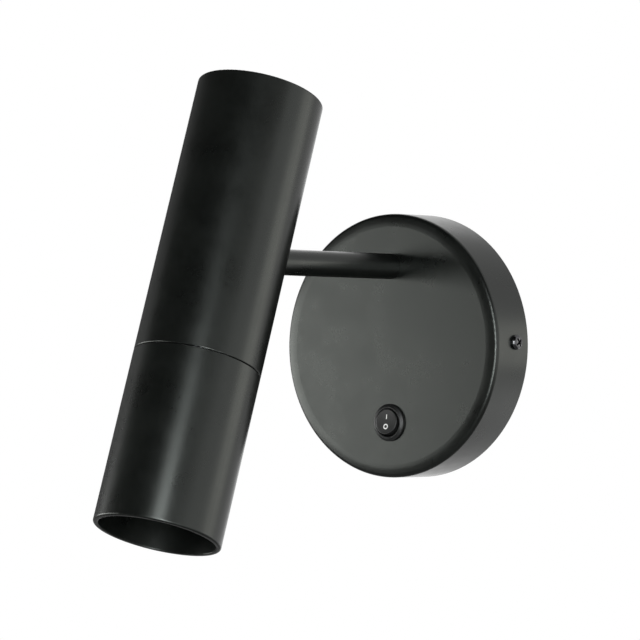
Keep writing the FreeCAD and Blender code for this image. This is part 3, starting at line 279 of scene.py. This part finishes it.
finishes = {
    "black_paint": makePaint("satinBlackPaint", paint),
    "tube_paint": makePaint("satinBlackTubePaint", paint),
    "black_plastic": makePlastic("blackSwitchPlastic", plastic),
    "mark_white": makeMatt("whitePadPrint", (0.62, 0.62, 0.60, 1), (0.78, 0.78, 0.76, 1),
                           (0.45, 0.6), 3000.0, 0.004 * mm),
    "black_screw": makeMetal("blackenedSteel", (0.09, 0.09, 0.094, 1), (0.20, 0.20, 0.204, 1),
                             (0.16, 0.30)),
    "zinc_steel": makeMetal("zincPlatedSteel", (0.42, 0.43, 0.45, 1), (0.56, 0.56, 0.54, 1),
                            (0.25, 0.45)),
    "brass": makeMetal("brass", (0.62, 0.44, 0.16, 1), (0.76, 0.58, 0.26, 1), (0.22, 0.40)),
    "bush_rubber": makeMatt("blackRubber", (0.012, 0.012, 0.012, 1), (0.022, 0.021, 0.020, 1),
                            (0.55, 0.75), 1400.0, 0.02 * mm),
    "white_nylon": makeMatt("whiteNylon", (0.70, 0.69, 0.65, 1), (0.80, 0.79, 0.76, 1),
                            (0.35, 0.5), 900.0, 0.01 * mm),
    "brake_fibre": makeMatt("brakeFibre", (0.10, 0.035, 0.02, 1), (0.17, 0.07, 0.045, 1),
                            (0.6, 0.8), 1800.0, 0.03 * mm),
    "holder_ceramic": makeMatt("glazedCeramic", (0.74, 0.72, 0.66, 1), (0.82, 0.81, 0.77, 1),
                               (0.2, 0.55), 500.0, 0.03 * mm),
    "sleeve_aluminium": makeMetal("turnedAluminium", (0.70, 0.71, 0.73, 1),
                                  (0.80, 0.80, 0.80, 1), (0.25, 0.4), (60.0, 900.0, 900.0)),
    "lamp_shell": makePlastic("lampShellPlastic", {
        "colour": (0.60, 0.60, 0.58, 1.0), "roughness": (0.3, 0.42),
        "grainScale": 1500.0, "grainHeight": 0.01 * mm}),
    "lamp_glass": makeGlass("lampGlass"),
    "pin_chrome": makeMetal("brightPins", (0.62, 0.62, 0.63, 1), (0.72, 0.72, 0.72, 1),
                            (0.1, 0.2)),
    "brown_sheath": makeSheath("brownSheath", (0.13, 0.045, 0.018, 1.0)),
    "black_sheath": makeSheath("blackSheath", (0.016, 0.016, 0.017, 1.0)),
    "blue_sheath": makeSheath("blueSheath", (0.02, 0.085, 0.36, 1.0)),
    "green_sheath": makeSheath("greenSheath", (0.10, 0.30, 0.03, 1.0)),
    "white_sleeving": makeMatt("wovenSleeving", (0.66, 0.65, 0.60, 1), (0.78, 0.77, 0.73, 1),
                               (0.6, 0.75), 1600.0, 0.05 * mm),
}

slotOfNode = {row["node"]: row["material_slot"] for row in frame["record"]["subparts"]}


def dressNodes():
    for name, thing in frame["nodes"].items():
        thing.data.materials.clear()
        thing.data.materials.append(finishes[slotOfNode[name]])


dressNodes()
print("materials on", len(slotOfNode), "nodes")


# The places that groups of pieces are drawn in, with x across, y up and z out of the face.
def facing(place, across, up):
    across, up = Vector(across), Vector(up)
    turn = Matrix((across, up, across.cross(up))).transposed().to_4x4()
    return Matrix.Translation(Vector(place) * mm) @ turn


def jointPlace(name):
    joint = next(row for row in frame["record"]["behaviour"]["joints"] if row["name"] == name)
    return Matrix.Translation(Vector(joint["pos_m"]))


restAngles = {"headTilt": -20.0, "rocker": -9.0}

wallPlace = Matrix.Identity(4)
rootPlace = Matrix.Translation((0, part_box("canopy")[0][1], jointPlace("head_tilt")[2][3]))
headPlace = jointPlace("head_tilt") @ Matrix.Rotation(
    math.radians(restAngles["headTilt"]), 4, "X")
rockerPlace = jointPlace("rocker_press") @ Matrix.Rotation(
    math.radians(restAngles["rocker"]), 4, "X")


# A skin over a grid of points in millimetres: its corners in metres, and its faces.
def skin(points, place=Matrix.Identity(4), closedU=False, closedV=True):
    rows, columns = points.shape[:2]
    index = np.arange(rows * columns).reshape(rows, columns)
    if closedU:
        index = np.vstack([index, index[:1]])
    if closedV:
        index = np.hstack([index, index[:, :1]])
    quads = np.stack([index[:-1, :-1], index[:-1, 1:], index[1:, 1:], index[1:, :-1]], -1)
    turn = np.array(place.to_3x3())
    corners = points.reshape(-1, 3) @ turn.T * mm + np.array(place.translation)
    return corners, quads.reshape(-1, 4)


def makeMesh(name, skins):
    starts = np.cumsum([0] + [len(corners) for corners, faces in skins])
    corners = np.vstack([corners for corners, faces in skins])
    faces = np.vstack([faces + start for (_, faces), start in zip(skins, starts)])
    mesh = bpy.data.meshes.new(name)
    mesh.from_pydata(corners.tolist(), [], faces.tolist())
    thing = bpy.data.objects.new(name, mesh)
    bpy.context.scene.collection.objects.link(thing)
    return thing


weldReach = 0.0006 * mm
creaseAngle = math.radians(34)


# A finished piece: seams and poles closed, faces outwards, smooth but for its real edges.
def makePiece(name, skins, slot, body, node):
    piece = makeMesh(name, skins)
    work = bmesh.new()
    work.from_mesh(piece.data)
    bmesh.ops.remove_doubles(work, verts=work.verts, dist=weldReach)
    bmesh.ops.recalc_face_normals(work, faces=work.faces)
    work.to_mesh(piece.data)
    work.free()
    piece.data.shade_smooth()
    piece.data.set_sharp_from_angle(angle=creaseAngle)
    piece.data.materials.append(finishes[slot])
    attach(piece, body)
    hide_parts(node)


def angles(columns):
    return np.linspace(0, 2 * np.pi, columns, endpoint=False)[None, :]


# A smooth step from 0 below the first edge to 1 above the second.
def eased(value, low, high):
    share = np.clip((value - low) / (high - low), 0, 1)
    return share * share * (3 - 2 * share)


# A profile of radii and heights, turned once about the z axis.
def turned(profile, columns=96):
    radius, height = (np.array(side, float)[:, None] for side in zip(*profile))
    angle = angles(columns)
    return np.stack([radius * np.cos(angle), radius * np.sin(angle), height + 0 * angle], -1)


recesses = {
    "crossHalfWidth": 0.15,  # shares of the head's radius
    "crossReach": 0.60,
    "crossDepth": 0.50,
    "slotHalfWidth": 0.16,
    "slotDepth": 0.34,
    "softEdge": 0.045,
    "shoulder": 0.42,  # share of the head's height that its straight side takes
}


# Depth of a cross recess, whose wings narrow to their ends and get shallower outwards.
def crossRecess(x, y):
    across, along = np.minimum(abs(x), abs(y)), np.maximum(abs(x), abs(y))
    reach, soft = recesses["crossReach"], recesses["softEdge"]
    width = recesses["crossHalfWidth"] * (1 - 0.35 * along / reach)
    inside = eased(width - across, -soft, soft) * eased(reach - along, -soft, soft)
    return inside * recesses["crossDepth"] * (1 - 0.55 * along / reach)


# Depth of a straight slot across the whole head.
def slotRecess(x, y):
    soft = recesses["softEdge"]
    return eased(recesses["slotHalfWidth"] - abs(y), -soft, soft) * recesses["slotDepth"]


# A screw: a head that domes with the square of the distance from its middle and rounds off
# steeply at its rim, less a recess, over a straight side, a flat seat and a plain shank.
def screw(headRadius, headTall, shankRadius, shankLong, recess):
    columns = 120
    share = np.sin(np.linspace(0, np.pi / 2, 44))[:, None]
    angle = angles(columns)
    x, y = share * np.cos(angle), share * np.sin(angle)
    bulge = 1 - recesses["shoulder"]
    dome = headTall * (1 - bulge * (0.35 * share ** 2 + 0.65 * share ** 9))
    top = np.stack([x * headRadius, y * headRadius, dome - recess(x, y) * headRadius], -1)
    below = turned([(headRadius, 0.1 * headTall), (0.96 * headRadius, 0),
                    (shankRadius, 0), (shankRadius, 0.3 - shankLong),
                    (shankRadius - 0.3, -shankLong), (0, -shankLong)], columns)
    return np.concatenate([top, below])


# A headless screw that shows only its slotted end.
def grubScrew(radius, long):
    columns = 72
    share = np.linspace(0, 1, 22)[:, None]
    angle = angles(columns)
    x, y = share * np.cos(angle), share * np.sin(angle)
    top = np.stack([x * radius, y * radius, -radius * slotRecess(x, y) * 1.6
                    - 0.12 * radius * eased(share, 0.86, 1.0)], -1)
    return np.concatenate([top, turned([(radius, -long), (0, -long)], columns)])


# A hexagon nut: at each angle its radius is the hexagon's, but never more than that of the
# cone that opens from each of its two faces. Its bore has a small countersink at both ends.
def hexNut(flats, bore, thick):
    columns = 144
    angle = angles(columns)
    fromFlat = (angle + np.pi / 6) % (np.pi / 3) - np.pi / 6
    hexagon = flats / 2 / np.cos(fromFlat)
    height = thick * (1 - np.cos(np.linspace(0, np.pi, 40)))[:, None] / 2
    fromFace = np.minimum(height, thick - height)
    radius = np.minimum(hexagon, 0.485 * flats + 1.75 * fromFace)
    side = np.stack([radius * np.cos(angle), radius * np.sin(angle), height + 0 * angle], -1)
    sink = 0.08 * flats
    low = turned([(bore, sink), (bore + sink, 0)], columns)
    high = turned([(bore + sink, thick), (bore, thick - sink)], columns)
    return np.concatenate([low, side, high])


# Screws: the body they ride on, their finish, the frame they are drawn in and their recess, then
# head radius and height, shank radius and length, and each one's seat with its directions across
# and up. Lengths are in millimetres.
screws = {
    "side_screws": ("base", "black_screw", wallPlace, crossRecess, (3.4, 2.3, 1.95, 10.0), (
        ((60.0, -9.5, 1.15), (0, 0.8, 0.6), (0, -0.6, 0.8)),
        ((-60.0, -9.5, 1.15), (0, -0.9, 0.43589), (0, 0.43589, 0.9)))),
    "block_screw": ("base", "zinc_steel", wallPlace, crossRecess, (2.7, 2.0, 1.5, 15.8), (
        ((19.5, -15.8, 4.5), (0.6, 0, 0.8), (-0.8, 0, 0.6)),)),
    "earth_screw": ("base", "brass", wallPlace, slotRecess, (3.6, 2.4, 1.95, 2.6), (
        ((-20.0, -2.6, 0), (0.8, 0, 0.6), (-0.6, 0, 0.8)),)),
    "plate_screws": ("head", "zinc_steel", headPlace, crossRecess, (2.7, 2.0, 1.5, 3.0), (
        ((16.0, 0, -20.5), (0.8, 0.6, 0), (-0.6, 0.8, 0)),
        ((-16.0, 0, -20.5), (0.28, 0.96, 0), (-0.96, 0.28, 0)))),
    "holder_screws": ("head", "zinc_steel", headPlace, crossRecess, (2.7, 2.0, 1.5, 14.5), (
        ((0, 10.5, -36.5), (0.6, 0.8, 0), (0.8, -0.6, 0)),
        ((0, -10.5, -36.5), (1, 0, 0), (0, -1, 0)))),
    "pivot_bolt": ("head", "zinc_steel", headPlace, crossRecess, (4.2, 2.8, 2.5, 21.0), (
        ((8.0, 0, 0), (0, 0.8, 0.6), (0, -0.6, 0.8)),)),
}

# Nuts: body, frame, seat, directions across and up, width over flats, bore radius, thickness.
nuts = {
    "lock_nut": ("arm", rootPlace, (0, 9.8, 0), (-1, 0, 0), (0, 0, 1), 14.0, 5.0, 5.0),
    "frame_nut": ("head", headPlace, (0, 0, 70.0), (1, 0, 0), (0, 1, 0), 8.0, 2.5, 4.0),
    "pivot_nut": ("head", headPlace, (-8.0, 0, 0), (0, -1, 0), (0, 0, 1), 8.0, 2.5, 4.0),
}

terminalScrews = {"across": (15.5, 23.5), "out": -14.1, "up": (-9.0, 0, 9.0),
                  "radius": 1.6, "long": 4.2}


def makeFixings():
    for node, (body, slot, place, recess, sizes, seats) in screws.items():
        makePiece(node + ".turned", [skin(screw(*sizes, recess), place @ facing(*seat))
                                     for seat in seats], slot, body, node)
    for node, (body, place, seat, across, up, flats, bore, thick) in nuts.items():
        makePiece(node + ".hexagon", [skin(hexNut(flats, bore, thick),
                                           place @ facing(seat, across, up), closedU=True)],
                  "zinc_steel", body, node)
    # Each clamp screw's slot stops at an angle of its own.
    heads = []
    for x in terminalScrews["across"]:
        for z in terminalScrews["up"]:
            lean = math.radians(x * 9 + z * 31)
            across, up = (math.cos(lean), 0, math.sin(lean)), (-math.sin(lean), 0, math.cos(lean))
            heads.append(skin(grubScrew(terminalScrews["radius"], terminalScrews["long"]),
                              facing((x, terminalScrews["out"], z), across, up)))
    makePiece("terminalScrews", heads, "brass", "base", "terminal_screws")


makeFixings()
print("screws and nuts made")

rocker = {
    "radius": 5.85,
    "face": 3.2,  # height of the face's upper and lower edges ahead of the hinge
    "dish": 0.25,
    "edge": 0.42,
    "skirt": 2.5,
    "pinRadius": 1.0,
    "pinEnd": 6.7,
    "pinLong": 1.3,
    "markPlace": 2.25,
    "barHalf": (0.21, 1.1),
    "ringRadii": (0.78, 1.24),
    "inkAbove": 0.03,
}


# The rocker's face is a shallow trough: lowest along the hinge, rising with the square of
# the height above or below it.
def rockerFace(up):
    return rocker["face"] - rocker["dish"] * (1 - (up / rocker["radius"]) ** 2)


def makeRocker():
    radius, edge = rocker["radius"], rocker["edge"]
    angle = angles(160)
    inner = np.linspace(0, radius - edge, 30)[:, None]
    turn = np.linspace(0, np.pi / 2, 9)[1:, None]
    reach = np.vstack([inner, radius - edge + edge * np.sin(turn)])
    drop = np.vstack([0 * inner, edge * (1 - np.cos(turn))])
    x, y = reach * np.cos(angle), reach * np.sin(angle)
    top = np.stack([x, y, rockerFace(y) - drop], -1)
    body = np.concatenate([top, turned([(radius, 0), (radius, 0.4 - rocker["skirt"]),
                                        (radius - 0.4, -rocker["skirt"]),
                                        (0, -rocker["skirt"])], 160)])
    place = rockerPlace @ facing((0, 0, 0), (1, 0, 0), (0, 0, 1))
    skins = [skin(body, place)]
    pinRadius, pinLong = rocker["pinRadius"], rocker["pinLong"]
    pin = turned([(0, 0), (pinRadius, 0), (pinRadius, pinLong), (0, pinLong)], 32)
    for side in (1, -1):
        skins.append(skin(pin, rockerPlace @ facing(
            (side * (rocker["pinEnd"] - pinLong), 0, 0), (0, side, 0), (0, 0, 1))))
    makePiece("rockerButton", skins, "black_plastic", "rocker", "rocker")

    # The ring's section is a thin rectangle carried round a circle on the face.
    inside, outside = rocker["ringRadii"]
    reach = np.array([inside, outside, outside, inside])[:, None]
    rise = np.array([-1, -1, 1, 1])[:, None] * rocker["inkAbove"]
    angle = angles(64)
    x, y = reach * np.cos(angle), reach * np.sin(angle) - rocker["markPlace"]
    ring = np.stack([x, y, rockerFace(y) + rise], -1)
    # The bar is a rectangle whose corners are rounded as a high power rounds an ellipse.
    share = np.array([0, 1, 1, 0])[:, None]
    rise = np.array([1, 1, -1, -1])[:, None] * rocker["inkAbove"]
    halfWide, halfTall = rocker["barHalf"]
    x = share * halfWide * np.sign(np.cos(angle)) * abs(np.cos(angle)) ** 0.25
    y = share * halfTall * np.sign(np.sin(angle)) * abs(np.sin(angle)) ** 0.25
    y = y + rocker["markPlace"]
    bar = np.stack([x, y, rockerFace(y) + rise], -1)
    makePiece("rockerMarks", [skin(ring, place, closedU=True), skin(bar, place)],
              "mark_white", "rocker", "rocker_marks")


makeRocker()
print("rocker made")

lens = {
    "radius": 23.8,
    "front": -85.7,  # along the tube's axis, from the tilt pivot
    "back": -83.7,
    "edge": 0.5,
    "pebblePitch": 3.0,
    "pebbleDeep": 0.45,
    "rings": 84,
}


# The lamp's diffuser: a disc whose face carries pebbles, the product of two waves a sixth of
# a turn apart, which fade out near its plain rim.
def makeLens():
    angle = angles(240)
    radius = np.linspace(0, lens["radius"] - lens["edge"], lens["rings"])[:, None]
    x, y = radius * np.cos(angle), radius * np.sin(angle)
    wave = 2 * np.pi / lens["pebblePitch"]
    pebble = np.cos(wave * x) * np.cos(wave * (0.5 * x + 0.866 * y))
    fade = 1 - eased(radius, lens["radius"] - 3.0, lens["radius"] - 2.0)
    face = np.stack([x, y, lens["front"] + lens["pebbleDeep"] * (1 - pebble) * fade / 2], -1)
    rest = turned([(lens["radius"], lens["front"] + lens["edge"]),
                   (lens["radius"], lens["back"]), (0, lens["back"])], 240)
    makePiece("lampLens", [skin(np.concatenate([face, rest]), headPlace)],
              "lamp_glass", "lamp", "lamp_lens")


makeLens()
print("lamp lens made")


studio = {
    "aim": Vector((0, -0.09, 0)),
    "worldSoft": 0.45,  # the world as plain rough surfaces see it
    "floorDrop": 0.34,
    "floorWide": 6.0,
    "floorColour": grey(0.86),
    "floorNear": grey(0.14),  # the floor under the lamp, as gloss sees it
    "floorGlow": 1.35,
    "behind": grey(0.42),  # the world straight behind the wall, as gloss sees it
    "worldGlow": 1.5,
    "curtainReach": 3.4,
    "curtainAround": (-128, 96),  # the azimuths and elevations that it covers, in degrees
    "curtainUp": (-50, 88),
    "curtainDark": grey(0.01),
    "curtainGlow": 1.35,
}

# Azimuth and elevation in degrees, distance, width and height in metres, brightness, colour.
softboxes = {
    "keySoftbox": (-62, -2, 1.0, 0.88, 0.36, 4.5, (0.99, 1.0, 0.98)),
    "frontRightStrip": (36, -1, 0.75, 0.23, 0.58, 13.0, (0.96, 0.99, 1.0)),
    "rightBackSoftbox": (138, 1, 1.8, 0.8, 0.7, 1.1, (1.0, 0.99, 0.90)),
}


def makeSoftbox(name, azimuth, elevation, distance, wide, tall, brightness, colour):
    right, up, towards = viewDirections(azimuth, elevation)
    data = bpy.data.lights.new(name, "AREA")
    data.color = colour
    data.shape = "RECTANGLE"
    data.size, data.size_y = wide, tall
    data.energy = brightness * math.pi * wide * tall
    light = bpy.data.objects.new(name, data)
    bpy.context.scene.collection.objects.link(light)
    turn = Matrix((right, up, towards)).transposed().to_4x4()
    light.matrix_world = Matrix.Translation(studio["aim"] + towards * distance) @ turn
    light.visible_camera = False


# White to the camera and soft to rough surfaces. In gloss it pales to both sides.
def makeWorld():
    world = bpy.data.worlds.new("studioWorld")
    world.use_nodes = True
    bpy.context.scene.world = world
    g = Graph(world.node_tree)
    soft = g.node("ShaderNodeBackground", None, (grey(1.0), studio["worldSoft"]))
    white = g.node("ShaderNodeBackground", None, (grey(1.0), 1.0))
    direction = g.node("ShaderNodeTexCoord", out="Generated")
    across = g.node("ShaderNodeSeparateXYZ", None, (direction,), out="X")
    gloss = g.node("ShaderNodeBackground", None, (
        g.mix(g.ramp(across, 1.0, 0.0, -0.6, -0.1) + g.ramp(across, 0.0, 0.55, 0.35, 0.75),
              studio["behind"], grey(1.0)), studio["worldGlow"]))
    shader = g.node("ShaderNodeMixShader", None, (
        g.node("ShaderNodeLightPath", out="Is Glossy Ray"), soft, gloss))
    seen = (g.node("ShaderNodeLightPath", out="Is Camera Ray")
            + g.node("ShaderNodeLightPath", out="Is Transmission Ray"))
    g.node("ShaderNodeOutputWorld", None, {"Surface": g.node(
        "ShaderNodeMixShader", None, (seen, shader, white))})


# A pale floor that fades to nothing well before its edge.
def makeFloor():
    half = studio["floorWide"] / 2 / mm
    x, y = np.meshgrid(np.linspace(-half, half, 13), np.linspace(-half, half, 13), indexing="ij")
    grid = np.stack([x, y, np.full_like(x, -studio["floorDrop"] / mm)], -1)
    floor = makeMesh("floor", [skin(grid, closedV=False)])
    material, g = newMaterial("paleFloor")
    near = g.node("ShaderNodeVectorMath", {"operation": "LENGTH"}, (g.place(),), out="Value")
    pale = g.node("ShaderNodeBsdfDiffuse", None, {"Color": studio["floorColour"]})
    back = g.node("ShaderNodeSeparateXYZ", None, (g.place(),), out="Y")
    glow = g.node("ShaderNodeEmission", None, {
        "Color": g.mix(g.ramp(back, 0.0, 1.0, 0.24, 0.55), studio["floorNear"], grey(1.0)),
        "Strength": studio["floorGlow"]})
    pale = g.node("ShaderNodeMixShader", None, (g.seenInGloss(), pale, glow))
    clear = g.node("ShaderNodeBsdfTransparent")
    g.surface(g.node("ShaderNodeMixShader", None, (g.ramp(near, 0, 1, 0.6, 1.6), pale, clear)))
    floor.data.materials.append(material)


# A dark curtain round the photographer's side, seen only in the gloss of the paint. Its glow
# grows towards both ends, fades upwards, and on the left also fades towards the wall.
def makeCurtain():
    reach = studio["curtainReach"]
    azimuth, elevation = np.meshgrid(
        np.radians(np.linspace(*studio["curtainAround"], 75)),
        np.radians(np.linspace(*studio["curtainUp"], 35)), indexing="ij")
    ball = np.stack([np.sin(azimuth) * np.cos(elevation), -np.cos(azimuth) * np.cos(elevation),
                     np.sin(elevation)], -1)
    curtain = makeMesh("curtain", [skin(ball * reach / mm, closedV=False)])
    material, g = newMaterial("darkCurtain")
    across, depth, up = (g.node("ShaderNodeSeparateXYZ", None, (g.place(),), out=axis)
                         for axis in ("X", "Y", "Z"))
    right = g.ramp(across, 0.0, 1.0, 0.55 * reach, 0.95 * reach)
    left = g.ramp(across, 0.6, 0.0, -0.95 * reach, -0.8 * reach)
    rightLow = g.ramp(up, 1.0, 0.18, 0.14 * reach, 0.42 * reach)
    leftLow = g.ramp(up, 1.0, 0.0, 0.20 * reach, 0.42 * reach)
    front = g.ramp(depth, 1.0, 0.22, -0.3 * reach, 0.1 * reach)
    glow = right * rightLow + left * leftLow * front
    g.surface(g.node("ShaderNodeEmission", None, {
        "Color": g.mix(glow, studio["curtainDark"], grey(1.0)),
        "Strength": studio["curtainGlow"]}))
    curtain.data.materials.append(material)
    for kind in ("camera", "diffuse", "transmission", "volume_scatter", "shadow"):
        setattr(curtain, "visible_" + kind, False)


for name, values in softboxes.items():
    makeSoftbox(name, *values)
makeWorld()
makeFloor()
makeCurtain()
bpy.context.scene.view_settings.view_transform = "Standard"
print("studio lit")
